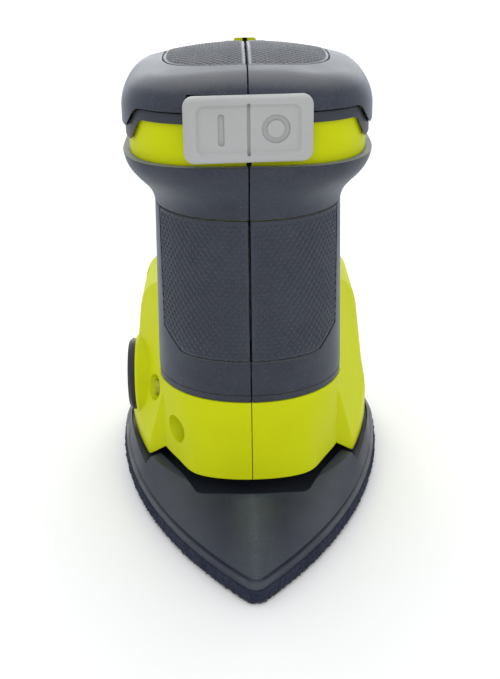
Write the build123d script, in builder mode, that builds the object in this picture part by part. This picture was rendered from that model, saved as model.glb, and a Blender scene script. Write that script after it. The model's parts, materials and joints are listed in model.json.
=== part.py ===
from build123d import *
import os
from math import asin, cos, pi, sin, sqrt, tan, radians

os.makedirs("parts", exist_ok=True)

# Compact cordless orbital sander. Millimetres, +Z up, -Y is the nose of the pad, +X is the right-hand
# side seen from the nose. The origin is where the motor axis meets the sanding face.

# ---- Driving dimensions ----
ORBIT = 1.0                 # throw of the eccentric; at rest it points to +Y
SKIN_GAP = 0.1              # soft grip to the shell under it
SEAM = 0.5                  # groove between the two halves of the soft grip
SHELL_SEAM = 0.24           # gap between the two hard shells
WALL = 2.4

# Pad and base
PAD_HALF = 50.0
PAD_WIDEST_Y = 40.0
PAD_SIDE_R = 170.0
PAD_NOSE_R = 4.5
PAD_REAR_Y = 74.0
HOOK_T = 1.2
FOAM_TOP = 5.2
FLANGE_TOP = 8.0
SLOPE_Z = 8.6
CROWN_Z = 14.0
DISH_Z = 9.6

# Neck and flare
MIDDLE_Y = 3.5
NECK_Z = 45.3
WAIST_Z = 108.7
RIM_Z = 128.2
NECK_LOW = (32.6, -28.4, 31.5)    # half width, front, rear
NECK_HIGH = (31.4, -27.6, 30.5)
RIM = (40.4, -37.2, 45.5)
NECK_POWER = 2.08
RIM_POWER = 3.2
GRIP_T = 2.2
BAND_Z = 47.7
PANEL_Z = 59.8
GROOVE = 0.5

# Head
HEAD = (40.2, -37.0, 82.0)
HEAD_Z = 128.4
CREST_Y = 5.0
CREST_Z = 158.0
ROOF_R = 128.0
FRONT_ROOF_R = 210.0
REAR_ROOF_R = 130.0
ROOF_TURN = 13.3            # slope of the rear roof, degrees
TOP_EDGE_R = 12.0
CAP_T = 3.0
CAP_Z = 137.9
TRIM_IN = 1.0
LIME_IN = 2.0
LIME_Z = 133.9
WINDOW_TOP = 144.6
SPINE_HALF = 9.5

# Lower housing
SKIRT_Z = 18.0
BLOCK_Z = 13.0
BLOCK_TOP = 86.0
BLOCK_REAR = 64.5
CHEEK_FOOT = (37.3, -4.3, 17.0)   # a point on the oblique cheek beside the neck
CHEEK_NORMAL = (0.904, -0.385, 0.188)

# Switch
ROCKER_W = 38.4
ROCKER_X = -0.3             # middle of the face; the tilt brings it onto the seam
ROCKER_Z = (130.4, 150.2)
ROCKER_FRONT = -40.6
ROCKER_PIVOT_Y = -35.9
PIVOT_R = 1.2
POCKET_X = (-18.3, 17.8)
POCKET_Z = (131.1, 149.5)
ROCKER_TILT = 4.0

# Drive
SHAFT_R = 2.5
CAN_R = 18.5
CAN_Z = (49.0, 104.0)
END_CAP_T = 5.0
FAN_R = 22.0
FAN_Z = (36.8, 43.4)
WEIGHT_R = 12.0
ECCENTRIC_Z = (25.2, 34.4)
PIN_R = 4.0
BEARING_Z = (17.0, 24.0)
BEARING_R = 11.0
BALL_R = 1.6
BALL_PCD_R = 7.5
HUB_R = 14.0
HUB_TOP = 24.6
BUSH_R = 5.0
ARMATURE_R = 14.0
LEAD_R = 1.1

# Fastenings and dust path
BOSS_R = 4.0
RECESS_R = 4.8
SCREW_R = 1.5
SCREW_SEAT_X = -19.5
SCREW_END_X = 14.0
LUG_YZ = (0.0, 38.2)
LUG_X = (-29.5, -25.3)
PLATE = (26.8, -23.4, 26.6)
PLATE_Z = (44.5, 48.5)
LEG_XY = [(22.0, 2.0), (27.0, 44.0)]
LEG_R = 3.5
LEG_Z = (11.0, 33.0)
LEG_CUP_R = LEG_R + ORBIT + 0.5
PORT_YZ = (20.0, 34.5)
PORT_R = 10.0
PORT_FLANGE_R = 13.5
PORT_FACE_X = -45.2
PORT_BACK_X = -37.5
PORT_SEAT = (15.2, -42.4, -36.5)    # radius, outer face and inner end of the round lime seat
DUCT_X = -33.2              # back wall of the round chamber behind the collar


def write(part, label):
    part.label = label
    export_step(part, "parts/" + label + ".step")


# ---- Section curves ----
def oval_points(half, front, rear, power, inset, count=28):
    """Points of a squared oval whose front and rear depths differ, as seen from above."""
    points = []
    for k in range(count):
        t = 2 * pi * k / count - pi / 2
        depth = (MIDDLE_Y - front) if sin(t) < 0 else (rear - MIDDLE_Y)
        cx = abs(cos(t)) ** (2 / power)
        sy = abs(sin(t)) ** (2 / power)
        x = (half - inset) * cx * (1 if cos(t) >= 0 else -1)
        y = (depth - inset) * sy * (1 if sin(t) >= 0 else -1)
        points.append((x, MIDDLE_Y + y))
    return points


def oval_section(z, size, power, inset):
    with BuildSketch(Plane.XY.offset(z)) as s:
        with BuildLine():
            Spline(oval_points(size[0], size[1], size[2], power, inset), periodic=True)
        make_face()
    return s.sketch


def neck_size(z):
    """The neck narrows evenly from its foot to its waist."""
    t = (z - NECK_Z) / (WAIST_Z - NECK_Z)
    return [a + (b - a) * t for a, b in zip(NECK_LOW, NECK_HIGH)]


def neck_solid(inset, low, high):
    with BuildPart() as p:
        for z in (low, high):
            add(oval_section(z, neck_size(z), NECK_POWER, inset))
        loft()
    return p.part


def flare_solid(inset, low=WAIST_Z, high=RIM_Z, steps=5):
    """The neck swells into the rim of the head along an S curve."""
    with BuildPart() as p:
        for k in range(steps):
            t = k / (steps - 1)
            s = t * t * (3 - 2 * t)
            size = [a + (b - a) * s for a, b in zip(NECK_HIGH, RIM)]
            power = NECK_POWER + (RIM_POWER - NECK_POWER) * s
            add(oval_section(low + (high - low) * t, size, power, inset))
        loft()
    return p.part


def roof_solid(inset):
    """Crowned roof: an arc across, carried along the crest line from front to rear."""
    front_r = FRONT_ROOF_R - inset
    rear_r = REAR_ROOF_R - inset
    crest = CREST_Z - inset
    start_y = -50.0
    drop = front_r - sqrt(front_r**2 - (start_y - CREST_Y) ** 2)
    turn = radians(ROOF_TURN)
    knee = (CREST_Y + rear_r * sin(turn), crest - rear_r * (1 - cos(turn)))
    tail = (knee[0] + 60 * cos(turn), knee[1] - 60 * sin(turn))
    half_turn = asin((CREST_Y - start_y) / front_r) / 2
    with BuildLine() as path:
        ThreePointArc(
            (0, start_y, crest - drop),
            (0, CREST_Y - front_r * sin(half_turn), crest - front_r * (1 - cos(half_turn))),
            (0, CREST_Y, crest),
        )
        ThreePointArc(
            (0, CREST_Y, crest),
            (0, CREST_Y + rear_r * sin(turn / 2), crest - rear_r * (1 - cos(turn / 2))),
            (0, knee[0], knee[1]),
        )
        Line((0, knee[0], knee[1]), (0, tail[0], tail[1]))
    across = ROOF_R - inset
    width = 52.0
    side_drop = across - sqrt(across**2 - width**2)
    with BuildPart() as p:
        with BuildSketch(Plane(path.line @ 0, x_dir=(1, 0, 0), z_dir=path.line % 0)) as s:
            with BuildLine():
                ThreePointArc((-width, side_drop), (0, 0), (width, side_drop))
                Polyline((width, side_drop), (width, 60), (-width, 60), (-width, side_drop))
            make_face()
        sweep(path=path.line)
    return p.part


def head_solid(inset):
    """The head between its flat underside and the crowned roof, rounded along the top edge."""
    with BuildPart() as p:
        add(oval_section(HEAD_Z, HEAD, RIM_POWER, inset))
        extrude(amount=60)
        add(roof_solid(inset), mode=Mode.INTERSECT)
        fillet(p.edges().filter_by(lambda e: e.center().Z > HEAD_Z + 8), radius=TOP_EDGE_R - inset)
    return p.part


def block_solid(inset):
    """The wide lower housing: plan outline, arch across and falling roof at the back."""
    with BuildPart() as p:
        with BuildSketch(Plane.XY.offset(BLOCK_Z - max(inset, 0))) as plan:
            with BuildLine():
                Polyline((-37.3, -4.3), (-31, -7.5), (31, -7.5), (37.3, -4.3))
                ThreePointArc((37.3, -4.3), (42.6, 13), (46.4, 36))
                Polyline((46.4, 36), (43, BLOCK_REAR), (-43, BLOCK_REAR), (-46.4, 36))
                ThreePointArc((-46.4, 36), (-42.6, 13), (-37.3, -4.3))
            make_face()
            fillet(plan.vertices().group_by(Axis.Y)[-1], radius=22)
            fillet(plan.vertices().filter_by(lambda v: abs(v.Y - 36) < 1), radius=40)
            fillet(plan.vertices().filter_by(lambda v: abs(v.Y + 4.3) < 1), radius=5)
            offset(amount=-inset)
        extrude(amount=BLOCK_TOP)
        with BuildSketch(Plane.XZ) as arch:
            with BuildLine():
                for s in (-1, 1):
                    Polyline((s * 47.5, 10), (s * 42.3, 40), (s * 38.6, 77))
                ThreePointArc((-38.6, 77), (0, 79.2), (38.6, 77))
                Line((-47.5, 10), (47.5, 10))
            make_face()
            fillet(arch.vertices().filter_by(lambda v: abs(v.Y - 77) < 1), radius=21)
            fillet(arch.vertices().filter_by(lambda v: abs(v.Y - 40) < 1), radius=40)
            offset(amount=-inset)
            if inset > 0:
                with Locations((0, 10)):
                    Rectangle(2 * (47.2 - inset), 2 * inset + 4)
        extrude(amount=100, both=True, mode=Mode.INTERSECT)
        with BuildSketch(Plane.YZ) as side_view:
            with BuildLine():
                Polyline((36, 80), (16, 87), (-14, 87), (-14, 8), (68.5, 8), (67, 36))
                ThreePointArc((67, 36), (57.5, 63), (36, 80))
            make_face()
            fillet(side_view.vertices().filter_by(lambda v: abs(v.Y - 80) < 1), radius=15)
            fillet(side_view.vertices().filter_by(lambda v: abs(v.Y - 36) < 1), radius=30)
            offset(amount=-inset)
            if inset > 0:
                with Locations((26, 8)):
                    Rectangle(2 * (40.5 - inset), 2 * inset + 4)
        extrude(amount=100, both=True, mode=Mode.INTERSECT)
        for s in (-1, 1):
            foot = (s * CHEEK_FOOT[0], CHEEK_FOOT[1], CHEEK_FOOT[2])
            facing = (s * CHEEK_NORMAL[0], CHEEK_NORMAL[1], CHEEK_NORMAL[2])
            with BuildSketch(Plane(origin=foot, z_dir=facing).offset(-inset)):
                Rectangle(250, 250)
            extrude(amount=60, mode=Mode.SUBTRACT)
        if inset <= 0:
            for s in (-1, 1):
                with BuildSketch(Plane.XZ.offset(-20)):
                    Polygon((s * 30.5, BLOCK_Z - 1), (s * 37.3, BLOCK_Z - 1), (s * 37.3, BLOCK_Z),
                            (s * 31, SKIRT_Z), (s * 30.5, SKIRT_Z), align=None)
                extrude(amount=60, mode=Mode.SUBTRACT)
    return p.part


def column_solid(inset):
    """The lime front below the neck, from the neck's foot down to the cornered skirt."""
    shrink = 1 - inset / NECK_LOW[0]
    foot = [(0, -32.6), (8, -32.0), (14, -30.6), (19.8, -27.6), (25.2, -19), (31.2, -7), (33, 8), (24, 26), (0, 34)]
    ring = foot + [(-x, y) for x, y in reversed(foot[1:-1])]
    ring = [(x * shrink, MIDDLE_Y + (y - MIDDLE_Y) * shrink) for x, y in ring]
    low = SKIRT_Z - max(inset, 0)
    with BuildPart() as p:
        with BuildSketch(Plane.XY.offset(low)):
            with BuildLine():
                Spline(ring, periodic=True)
            make_face()
        collar = [v * shrink if k != 1 else MIDDLE_Y + (v - MIDDLE_Y) * shrink for k, v in enumerate(NECK_LOW)]
        add(oval_section(NECK_Z, (collar[0] + 0.3, collar[1] - 0.4, collar[2]), NECK_POWER, 0))
        loft()
    return p.part


def slab(low, high):
    """A wide flat slice of space, for cutting an envelope to height."""
    with BuildPart() as p:
        with BuildSketch(Plane.XY.offset(low)):
            Rectangle(300, 300)
        extrude(amount=high - low)
    return p.part


def front_prism(outline, radius=0, rear_y=-8.0):
    """A polygon in the front view, its top corners rounded, carried back to rear_y."""
    with BuildPart() as p:
        with BuildSketch(Plane.XZ.offset(-rear_y)) as s:
            Polygon(*outline, align=None)
            if radius:
                fillet(s.vertices().sort_by(Axis.Y)[-2:], radius=radius)
        extrude(amount=60)
    return p.part


def bar(x, y, z):
    """A rectangular block between two limits on each axis."""
    with BuildPart() as p:
        with BuildSketch(Plane.XY.offset(z[0])):
            with Locations(((x[0] + x[1]) / 2, (y[0] + y[1]) / 2)):
                Rectangle(x[1] - x[0], y[1] - y[0])
        extrude(amount=z[1] - z[0])
    return p.part


def rod_x(y, z, radius, x_low, x_high):
    with BuildPart() as p:
        with BuildSketch(Plane.YZ.offset(x_low)):
            with Locations((y, z)):
                Circle(radius)
        extrude(amount=x_high - x_low)
    return p.part


def rod_z(x, y, radius, low, high):
    with BuildPart() as p:
        with BuildSketch(Plane.XY.offset(low)):
            with Locations((x, y)):
                Circle(radius)
        extrude(amount=high - low)
    return p.part


def side_of(part, side, gap):
    """The half of a piece on one side of the centre plane, less half of the seam."""
    far = (gap / 2, 150) if side > 0 else (-150, -gap / 2)
    with BuildPart() as p:
        add(part)
        add(bar(far, (-150, 150), (-10, 250)), mode=Mode.INTERSECT)
    return p.part


SIDES = [("left", -1), ("right", 1)]

# ---- Envelopes used by more than one piece ----
block = block_solid(0)
block_clear = block_solid(-0.3)
head_outer = head_solid(0)
head_under_cap = head_solid(CAP_T)
head_core = head_solid(CAP_T + SKIN_GAP)
pocket = bar(POCKET_X, (-60, -27), POCKET_Z)
window = [(-34.3, WINDOW_TOP), (-37.8, CAP_Z), (37.8, CAP_Z), (34.3, WINDOW_TOP)]
lime_window = [(-32.9, 141.0), (-36.4, LIME_Z - 0.5), (36.4, LIME_Z - 0.5), (32.9, 141.0)]


# ---- Hard shells ----
def spine_prism(width, lift):
    """A straight ridge that falls gently to the rear along the top of the head."""
    slope = tan(radians(8.3))
    with BuildPart() as p:
        with BuildSketch(Plane.YZ):
            Polygon((27, 156.4 + lift), (79.5, 156.4 + lift - 52.5 * slope), (79.5, 138), (27, 140), align=None)
        extrude(amount=width, both=True)
    return p.part


def shell_outer():
    with BuildPart() as p:
        add(block)
        add(column_solid(0))
        add(neck_solid(GRIP_T + SKIN_GAP, NECK_Z - 1, WAIST_Z + 0.5))
        add(flare_solid(GRIP_T + SKIN_GAP))
        add(oval_section(RIM_Z - 0.1, RIM, RIM_POWER, GRIP_T + SKIN_GAP))
        extrude(amount=2)
        add(head_core)
    return p.part


def lime_band():
    """The shell comes forward to the surface in the band round the foot of the head."""
    with BuildPart() as zone:
        add(slab(HEAD_Z, LIME_Z - 0.1))
        add(front_prism([(-32.8, 140.9), (-36.3, LIME_Z - 0.2), (36.3, LIME_Z - 0.2), (32.8, 140.9)], 1.9))
    with BuildPart() as p:
        add(head_solid(LIME_IN))
        add(zone.part, mode=Mode.INTERSECT)
    return p.part


def head_cavity():
    with BuildPart() as p:
        add(head_solid(CAP_T + SKIN_GAP + WALL))
        add(slab(HEAD_Z + WALL, 200), mode=Mode.INTERSECT)
    return p.part


def shell_inner():
    core = GRIP_T + SKIN_GAP + WALL
    with BuildPart() as p:
        add(block_solid(WALL))
        add(column_solid(WALL))
        add(neck_solid(core, NECK_Z - 2, WAIST_Z + 0.2))
        add(flare_solid(core))
        add(oval_section(RIM_Z - 0.2, RIM, RIM_POWER, core))
        extrude(amount=4)
        add(head_cavity())
    return p.part


def motor_rings():
    """Two ribs round the inside of the neck that hold the motor can."""
    with BuildPart() as p:
        for z in (70.0, 98.0):
            add(neck_solid(GRIP_T + 1, z, z + 2))
        add(rod_z(0, 0, CAN_R + 0.2, 60, 110), mode=Mode.SUBTRACT)
    return p.part


def brackets():
    """Ribs inside the lower housing and flare for the motor plate, legs and switch."""
    with BuildPart() as p:
        for s in (-1, 1):
            add(bar(sorted((s * 21.6, s * 25.2)), (-12, -7), (45.0, 51.5)))
            add(bar(sorted((s * 21.6, s * 40.2)), (20, 25), (45.0, 51.5)))
            for (x, y), end, front in zip(LEG_XY, (33.0, 42.4), (-1, 36)):
                add(bar(sorted((s * (x - 5.4), s * (x + 7))), (y - 8, y + 6), (28.5, 34.4)))
                add(bar(sorted((s * (x + 6), s * end)), (front, y + 6), (28.5, 34.4)))
        add(bar((-17, 17), (-32, -12), (124.6, 127.4)))
        add(oval_section(PLATE_Z[0] - 0.1, PLATE, NECK_POWER, -0.1))
        extrude(amount=PLATE_Z[1] - PLATE_Z[0] + 0.2, mode=Mode.SUBTRACT)
        for s in (-1, 1):
            for x, y in LEG_XY:
                add(rod_z(s * x, y, LEG_R, 28, LEG_Z[1]), mode=Mode.SUBTRACT)
    return p.part


def whole_shell():
    with BuildPart() as p:
        add(shell_outer())
        add(lime_band())
        add(shell_inner(), mode=Mode.SUBTRACT)
        add(motor_rings())
        add(brackets())
        add(pocket, mode=Mode.SUBTRACT)
        add(bar((-31.2, 31.2), (-9, -4.9), (BLOCK_Z - 1, SKIRT_Z)), mode=Mode.SUBTRACT)
        add(bar((-6.2, 6.2), (57.8, 70.2), (HEAD_Z - 1, HEAD_Z + 4)), mode=Mode.SUBTRACT)
        for s in (-1, 1):
            for k in range(5):
                y = 46.5 + 3.6 * k
                add(bar(sorted((s * 38, s * 50)), (y, y + 1.6), (36, 52)), mode=Mode.SUBTRACT)
    return p.part


def screw_boss(y, z, side, envelope):
    """Post for one clamshell screw, trimmed to stay inside the wall that it grows from."""
    with BuildPart() as p:
        near = SHELL_SEAM / 2
        if side < 0:
            add(rod_x(y, z, BOSS_R, -23, -near))
            add(rod_x(y, z, RECESS_R + WALL / 2, -60, SCREW_SEAT_X + WALL))
        else:
            add(rod_x(y, z, BOSS_R, near, 60))
        add(envelope, mode=Mode.INTERSECT)
    return p.part


def lug_boss():
    """Cup in the cheek for the screw that holds the motor plate's lug."""
    with BuildPart() as p:
        add(rod_x(LUG_YZ[0], LUG_YZ[1], RECESS_R + WALL / 2, -38, LUG_X[0] - 0.4))
        add(cheek_body, mode=Mode.INTERSECT)
    return p.part


def port_seat():
    """Round boss that brings the wall out to the dust collar."""
    with BuildPart() as p:
        add(rod_x(PORT_YZ[0], PORT_YZ[1], PORT_SEAT[0], PORT_SEAT[1], PORT_SEAT[2]))
        fillet(p.faces().sort_by(Axis.X)[0].edges(), radius=1.2)
    return p.part


def left_half(shell):
    """Carries the screw recesses and the dust collar."""
    with BuildPart() as p:
        add(side_of(shell, -1, SHELL_SEAM))
        for y, z, envelope in SCREWS:
            add(screw_boss(y, z, -1, envelope))
        add(lug_boss())
        add(port_seat())
        for y, z, envelope in SCREWS:
            add(rod_x(y, z, RECESS_R, -60, SCREW_SEAT_X), mode=Mode.SUBTRACT)
            add(rod_x(y, z, SCREW_R + 0.2, -60, 1), mode=Mode.SUBTRACT)
        add(rod_x(LUG_YZ[0], LUG_YZ[1], RECESS_R, -60, LUG_X[0] - 2.4), mode=Mode.SUBTRACT)
        add(rod_x(LUG_YZ[0], LUG_YZ[1], SCREW_R + 0.2, -60, -20), mode=Mode.SUBTRACT)
        add(rod_x(PORT_YZ[0], PORT_YZ[1], PORT_FLANGE_R + 0.1, -60, DUCT_X + 0.1), mode=Mode.SUBTRACT)
    return p.part


def right_half(shell):
    """Carries the blind bosses that the screws bite into."""
    with BuildPart() as p:
        add(side_of(shell, 1, SHELL_SEAM))
        for y, z, envelope in SCREWS:
            add(screw_boss(y, z, 1, envelope))
            add(rod_x(y, z, SCREW_R, -1, SCREW_END_X + 1), mode=Mode.SUBTRACT)
    return p.part


block_body = block_solid(1.0)
cheek_body = block_body + column_solid(1.0)
# Clamshell screws: where each one lies in side view, and the envelope its boss stays inside
SCREWS = [
    (-16.5, 29.7, column_solid(1.0)),
    (55.0, 27.0, block_body),
    (47.0, 62.0, block_body),
    (50.0, 143.0, head_solid(CAP_T + 1)),
]
shell = whole_shell()
write(left_half(shell), "housing_left")
write(right_half(shell), "housing_right")


# ---- Soft grips ----
def neck_sleeve():
    """Soft sleeve of the neck with the band groove, open where the textured panels sit."""
    with BuildPart() as p:
        add(neck_solid(0, NECK_Z + 0.2, WAIST_Z - GROOVE / 2))
        add(neck_solid(GRIP_T, NECK_Z + 0.1, WAIST_Z), mode=Mode.SUBTRACT)
        add(band_groove(), mode=Mode.SUBTRACT)
        add(panel_prism(0), mode=Mode.SUBTRACT)
        add(block_clear, mode=Mode.SUBTRACT)
    return p.part


def band_groove():
    with BuildPart() as p:
        add(slab(BAND_Z - GROOVE / 2, BAND_Z + GROOVE / 2))
        add(neck_solid(0.8, BAND_Z - 1, BAND_Z + 1), mode=Mode.SUBTRACT)
    return p.part


def panel_prism(inset):
    """Front view of the textured panels: straight sides and cut lower corners."""
    low = PANEL_Z + inset
    side = 29.4 - inset
    return front_prism([
        (-side, WAIST_Z + 2), (side, WAIST_Z + 2), (side, low + 7), (side - 6, low + 0.5),
        (side - 9, low), (9 - side, low), (6 - side, low + 0.5), (-side, low + 7),
    ])


def neck_panels():
    with BuildPart() as p:
        add(neck_solid(0.35, PANEL_Z - 2, WAIST_Z - GROOVE))
        add(neck_solid(GRIP_T, PANEL_Z - 3, WAIST_Z), mode=Mode.SUBTRACT)
        add(panel_prism(GROOVE), mode=Mode.INTERSECT)
        add(block_clear, mode=Mode.SUBTRACT)
    return p.part


def flare_sleeve():
    with BuildPart() as p:
        add(flare_solid(0))
        add(flare_solid(GRIP_T), mode=Mode.SUBTRACT)
        add(slab(WAIST_Z - 1, WAIST_Z + GROOVE / 2), mode=Mode.SUBTRACT)
    return p.part


def top_patch(inset):
    """Plan of the textured top: a squared oval that leaves room for the spine."""
    size = (27.0, -22.4, 62.0)
    with BuildPart() as p:
        add(oval_section(125, size, 2.7, inset))
        extrude(amount=60)
        add(bar((-SPINE_HALF - 0.8 - inset, SPINE_HALF + 0.8 + inset), (25.5 - inset, 90), (120, 190)),
            mode=Mode.SUBTRACT)
    return p.part


def head_cap():
    """Soft cap over the head with its raised spine, open at the front for the switch."""
    with BuildPart() as p:
        add(head_outer)
        add(spine_ridge())
        add(head_under_cap, mode=Mode.SUBTRACT)
        add(slab(0, CAP_Z), mode=Mode.SUBTRACT)
        add(front_prism(window, 3.0), mode=Mode.SUBTRACT)
        add(top_patch(0), mode=Mode.SUBTRACT)
        add(pocket, mode=Mode.SUBTRACT)
        add(rod_x(SCREWS[-1][0], SCREWS[-1][1], RECESS_R, -60, -20), mode=Mode.SUBTRACT)
        add(spine_prism(3.9, 2).cut(spine_prism(4.5, -1.3)), mode=Mode.SUBTRACT)
    return p.part


def spine_ridge():
    with BuildPart() as p:
        add(spine_prism(SPINE_HALF, 0))
        fillet(p.edges().filter_by(lambda e: e.center().Z > 150), radius=3.5)
    return p.part


def top_panels():
    with BuildPart() as p:
        add(head_solid(0.35))
        add(head_under_cap, mode=Mode.SUBTRACT)
        add(top_patch(GROOVE), mode=Mode.INTERSECT)
    return p.part


def front_bezel():
    """Recessed trim: a band round the head that rises over the lime window at the front."""
    with BuildPart() as zone:
        add(slab(LIME_Z, CAP_Z - 0.5))
        add(front_prism([(-33.8, WINDOW_TOP - 0.5), (-37.3, CAP_Z - 0.5), (37.3, CAP_Z - 0.5),
                         (33.8, WINDOW_TOP - 0.5)], 2.5))
        add(front_prism(lime_window, 2.0), mode=Mode.SUBTRACT)
        add(pocket, mode=Mode.SUBTRACT)
    with BuildPart() as p:
        add(head_solid(TRIM_IN))
        add(head_under_cap, mode=Mode.SUBTRACT)
        add(zone.part, mode=Mode.INTERSECT)
    return p.part


def spine_strip():
    with BuildPart() as p:
        add(spine_prism(3.8, 0.9).cut(spine_prism(4.2, -1.2)))
        fillet(p.edges().filter_by(lambda e: e.center().Z > 145).filter_by(
            lambda e: abs(e.tangent_at(0.5).Y) > 0.9).sort_by(Axis.Z)[-2:], radius=0.8)
    return p.part


for name, whole, gap in [
    ("neck_grip", neck_sleeve(), SEAM),
    ("neck_panel", neck_panels(), SEAM + 0.3),
    ("flare_grip", flare_sleeve(), SEAM),
    ("head_cap", head_cap(), SEAM),
    ("top_panel", top_panels(), SEAM + 0.3),
]:
    for side_name, side in SIDES:
        write(side_of(whole, side, gap), name + "_" + side_name)
write(front_bezel(), "front_bezel")
write(spine_strip(), "spine_strip")


# ---- Switch ----
def rounded_bar(width, height, radius, z_mid, y, depth, taper=0):
    """A rounded rectangle round the middle of the rocker, drawn from y forward over depth."""
    with BuildPart() as p:
        with BuildSketch(Plane.XZ.offset(-y)):
            with Locations((ROCKER_X, z_mid)):
                RectangleRounded(width, height, radius)
        extrude(amount=depth, taper=taper)
    return p.part


rocker_mid = sum(ROCKER_Z) / 2
rocker_h = ROCKER_Z[1] - ROCKER_Z[0]
rocker_back = ROCKER_FRONT + 2.4
NOTCHES = ((120, 133.4), (147.0, 160))
ARMS = ((131.3, 133.1), (147.3, 149.2))
with BuildPart() as switch_rocker:
    add(rounded_bar(ROCKER_W, rocker_h, 3.2, rocker_mid, rocker_back, 2.4))
    fillet(switch_rocker.faces().sort_by(Axis.Y)[0].edges(), radius=1.5)
    add(rounded_bar(ROCKER_W - 9.0, rocker_h - 6.6, 1.6, rocker_mid, ROCKER_FRONT + 0.8, 2, -45),
        mode=Mode.SUBTRACT)
    with BuildSketch(Plane.XZ.offset(-ROCKER_FRONT - 1.5)):
        with Locations((ROCKER_X, rocker_mid)):
            Rectangle(0.9, rocker_h - 4.4)
        with Locations((ROCKER_X - 8.1, rocker_mid)):
            SlotOverall(9.4, 1.8, rotation=90)
        with Locations((ROCKER_X + 8.1, rocker_mid)):
            Circle(4.2)
            Circle(2.6, mode=Mode.SUBTRACT)
    extrude(amount=3, mode=Mode.SUBTRACT)
    add(rounded_bar(ROCKER_W - 3.4, 17.4, 2.0, 140.3, -34.4, -34.4 - rocker_back))
    for low, high in NOTCHES:
        add(bar((-5.2, 5.2), (rocker_back, -30), (low, high)), mode=Mode.SUBTRACT)
    add(bar((-2, 2), (-35, -28.8), (136, 144)))
    add(rod_z(0, ROCKER_PIVOT_Y, PIVOT_R, 131.7, 148.9))
pivot_axis = Axis((0, ROCKER_PIVOT_Y, 0), (0, 0, 1))
write(switch_rocker.part.rotate(pivot_axis, ROCKER_TILT), "switch_rocker")

with BuildPart() as switch_body:
    add(bar((-15, 15), (-25.5, -12.4), (127.6, 150.0)))
    fillet(switch_body.edges().filter_by(Axis.Y), radius=1.2)
    add(bar((-18.2, 17.7), (-28.4, -25.4), (131.2, 149.2)))
    for low, high in ARMS:
        add(bar((-4, 4), (-37.6, -25), (low, high)))
    add(rod_z(0, ROCKER_PIVOT_Y, PIVOT_R + 0.05, 131, 149.4), mode=Mode.SUBTRACT)
write(switch_body.part, "switch_body")

with BuildPart() as switch_terminals:
    for x in (-9, -3.5, 3.5, 9):
        add(bar((x - 1.2, x + 1.2), (-12.4, -6.5), (138.6, 139.4)))
write(switch_terminals.part, "switch_terminals")

# ---- Motor ----
with BuildPart() as motor_can:
    add(rod_z(0, 0, CAN_R, CAN_Z[0], CAN_Z[1]))
    fillet(motor_can.edges().group_by(Axis.Z)[0], radius=2)
    add(rod_z(0, 0, CAN_R - 1.5, CAN_Z[0] + 5, CAN_Z[1] + 1), mode=Mode.SUBTRACT)
    add(rod_z(0, 0, BUSH_R, CAN_Z[0] - 1, CAN_Z[0] + 6), mode=Mode.SUBTRACT)
    with PolarLocations(9, 2):
        with Locations((0, 0, CAN_Z[0])):
            Cylinder(1.25, 6, align=(Align.CENTER, Align.CENTER, Align.MIN), mode=Mode.SUBTRACT)
    with PolarLocations(CAN_R, 2, start_angle=90):
        with Locations((0, 0, CAN_Z[0] + 9)):
            Box(9, 5, 6, align=(Align.CENTER, Align.CENTER, Align.MIN), mode=Mode.SUBTRACT)
write(motor_can.part, "motor_can")

with BuildPart() as motor_magnets:
    with BuildSketch(Plane.XY.offset(CAN_Z[0] + 16)):
        Circle(CAN_R - 1.5)
        Circle(ARMATURE_R + 0.6, mode=Mode.SUBTRACT)
        Rectangle(9, 60, mode=Mode.SUBTRACT)
    extrude(amount=26)
write(motor_magnets.part, "motor_magnets")

with BuildPart() as motor_shaft:
    add(rod_z(0, 0, SHAFT_R, 27.2, 111))
    chamfer(motor_shaft.edges().group_by(Axis.Z)[0], length=0.4)
    chamfer(motor_shaft.edges().group_by(Axis.Z)[-1], length=0.4)
write(motor_shaft.part, "motor_shaft")

with BuildPart() as armature:
    add(rod_z(0, 0, ARMATURE_R, 67, 89))
    with PolarLocations(ARMATURE_R, 7):
        with Locations((0, 0, 67)):
            Box(5.5, 2, 22, align=(Align.CENTER, Align.CENTER, Align.MIN), mode=Mode.SUBTRACT)
    add(rod_z(0, 0, ARMATURE_R - 2.2, 62, 67))
    add(rod_z(0, 0, ARMATURE_R - 2.2, 89, 92))
    add(rod_z(0, 0, SHAFT_R, 60, 95), mode=Mode.SUBTRACT)
write(armature.part, "armature")

with BuildPart() as commutator:
    add(rod_z(0, 0, 6.5, 92.6, 101.6))
    with PolarLocations(6.5, 7):
        with Locations((0, 0, 94)):
            Box(1.6, 0.4, 8, align=(Align.CENTER, Align.CENTER, Align.MIN), mode=Mode.SUBTRACT)
    add(rod_z(0, 0, SHAFT_R, 90, 103), mode=Mode.SUBTRACT)
write(commutator.part, "commutator")

with BuildPart() as motor_end_cap:
    add(rod_z(0, 0, CAN_R, CAN_Z[1], CAN_Z[1] + END_CAP_T))
    fillet(motor_end_cap.edges().group_by(Axis.Z)[-1], radius=1)
    for s in (-1, 1):
        add(bar(sorted((s * 7.5, s * 16)), (-4.2, 4.2), (92.5, CAN_Z[1] + 1)))
        add(bar(sorted((s * 6, s * 14)), (-2.6, 2.6), (94.5, 100.5)), mode=Mode.SUBTRACT)
    add(rod_z(0, 0, BUSH_R, 90, 115), mode=Mode.SUBTRACT)
write(motor_end_cap.part, "motor_end_cap")

with BuildPart() as motor_brushes:
    for s in (-1, 1):
        add(bar(sorted((s * 6.6, s * 14)), (-2.5, 2.5), (94.6, 100.4)))
write(motor_brushes.part, "motor_brushes")

with BuildPart() as motor_terminals:
    for s in (-1, 1):
        add(bar(sorted((s * 10.6, s * 11.4)), (-2.4, 2.4), (CAN_Z[1] + END_CAP_T, CAN_Z[1] + END_CAP_T + 6)))
write(motor_terminals.part, "motor_terminals")

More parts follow.
